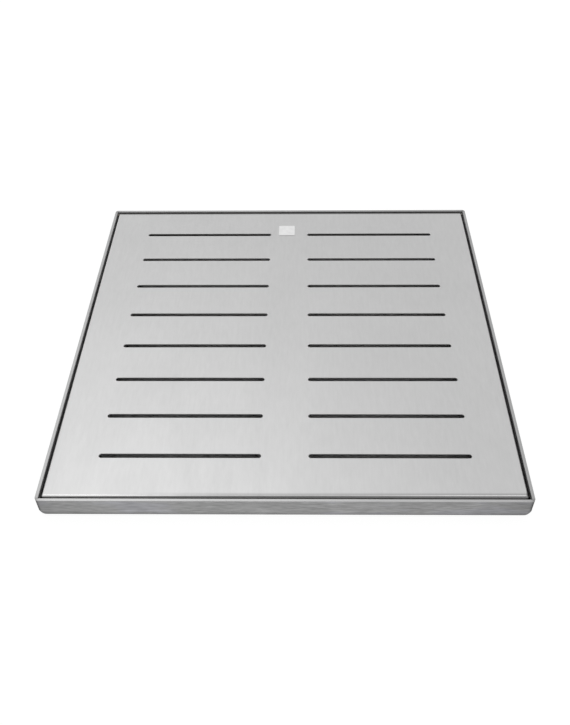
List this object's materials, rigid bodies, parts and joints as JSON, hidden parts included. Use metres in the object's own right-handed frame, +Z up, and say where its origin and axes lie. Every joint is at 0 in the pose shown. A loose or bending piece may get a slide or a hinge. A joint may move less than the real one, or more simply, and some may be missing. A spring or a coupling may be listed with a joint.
{
  "type": "floor drain grate",
  "caption": "Square stainless floor drain grate: a slotted, stiffened cover plate with folded edges that lifts out of a slim folded angle frame on rubber pads.",
  "frame": {"origin": "centre of the frame's underside", "axes": "+Z up through the plate, +X to the right along the slots, front at -Y"},
  "size_m": [0.3, 0.3, 0.016],
  "materials": {
    "frame_steel": "brushed along the rails, bright rim",
    "plate_steel": "fine satin brush, very even",
    "mill_steel": "mill finish, dull",
    "pad_rubber": "matt black",
    "badge": "pale satin, blank"
  },
  "bodies": {
    "frame": {"frame_rail_front": "frame_steel", "frame_rail_right": "frame_steel", "frame_rail_back": "frame_steel", "frame_rail_left": "frame_steel", "pad_front_left": "pad_rubber", "pad_front_right": "pad_rubber", "pad_back_right": "pad_rubber", "pad_back_left": "pad_rubber", "pad_front": "pad_rubber", "pad_right": "pad_rubber", "pad_back": "pad_rubber", "pad_left": "pad_rubber"},
    "grate": {"cover_plate": "plate_steel", "bearing_bar_1": "mill_steel", "bearing_bar_2": "mill_steel", "bearing_bar_3": "mill_steel", "bearing_bar_4": "mill_steel", "bearing_bar_5": "mill_steel", "bearing_bar_6": "mill_steel", "bearing_bar_7": "mill_steel", "centre_spine": "mill_steel", "blank_badge": "badge"}
  },
  "joints": [
    {"name": "grate_lift", "type": "slide", "parent": "frame", "child": "grate", "axis": [0, 0, 1], "range_m": [0, 0.06]}
  ]
}
